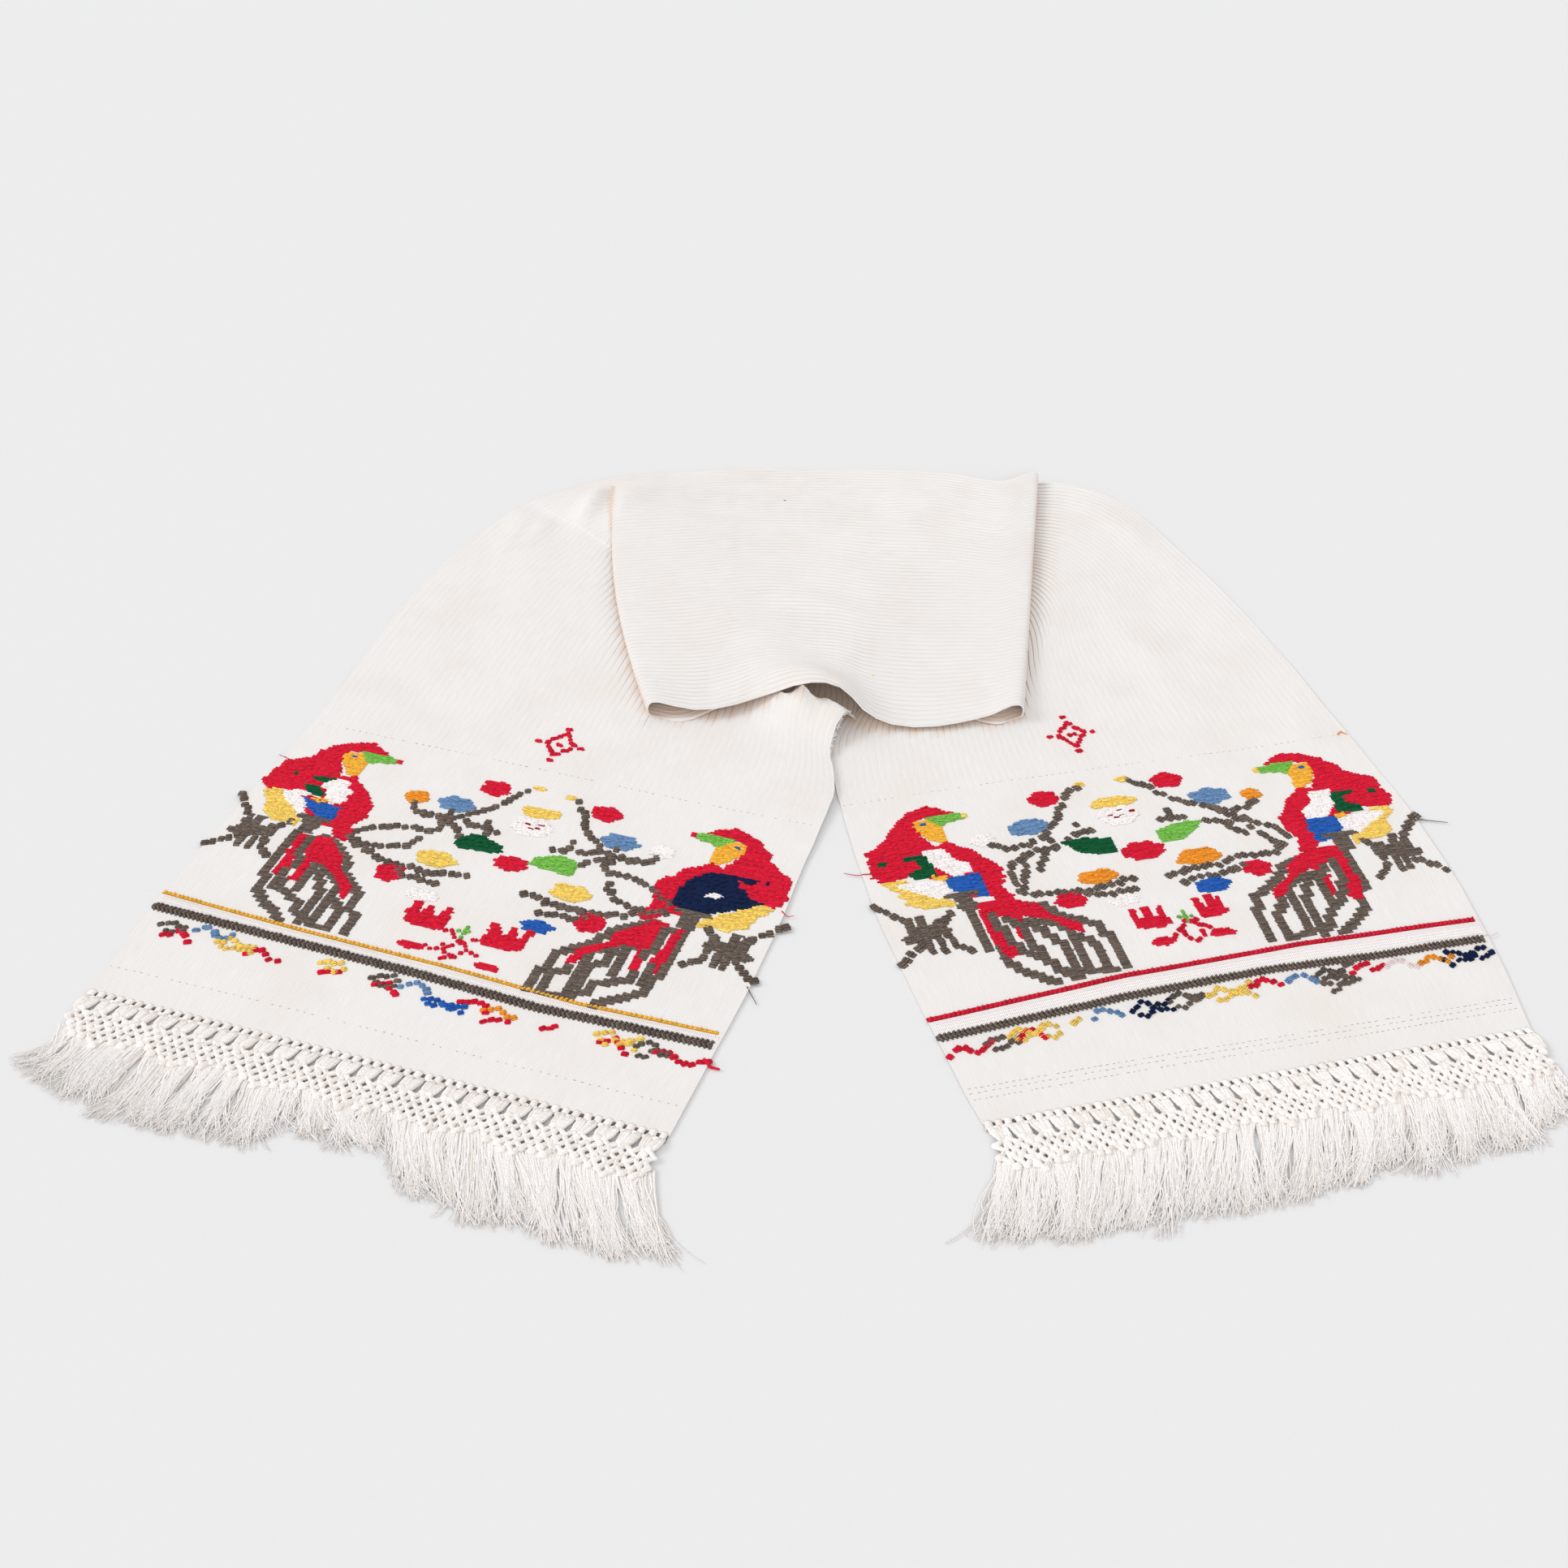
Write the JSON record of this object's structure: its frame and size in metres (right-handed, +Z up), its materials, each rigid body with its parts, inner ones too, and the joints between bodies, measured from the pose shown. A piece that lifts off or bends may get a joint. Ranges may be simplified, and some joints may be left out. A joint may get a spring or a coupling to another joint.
{
  "type": "embroidered towel",
  "caption": "Long fringed cotton towel with embroidered ends, laid out in a horseshoe with its middle turned over as a box pleat.",
  "frame": {"origin": "on the floor under the middle of the whole towel's box", "axes": "+Z up, +X from the left end to the right end, and both fringed ends point to -Y"},
  "size_m": [0.9683, 0.8659, 0.0333],
  "materials": {
    "ribbed_cotton": "matte off-white cotton, ribbed in the middle and plain at the embroidered ends",
    "fringe_cotton": "matte off-white knotted and loose cotton yarn"
  },
  "bodies": {
    "root": {"cloth": "ribbed_cotton", "fringe_left": "fringe_cotton", "fringe_right": "fringe_cotton"}
  },
  "joints": []
}
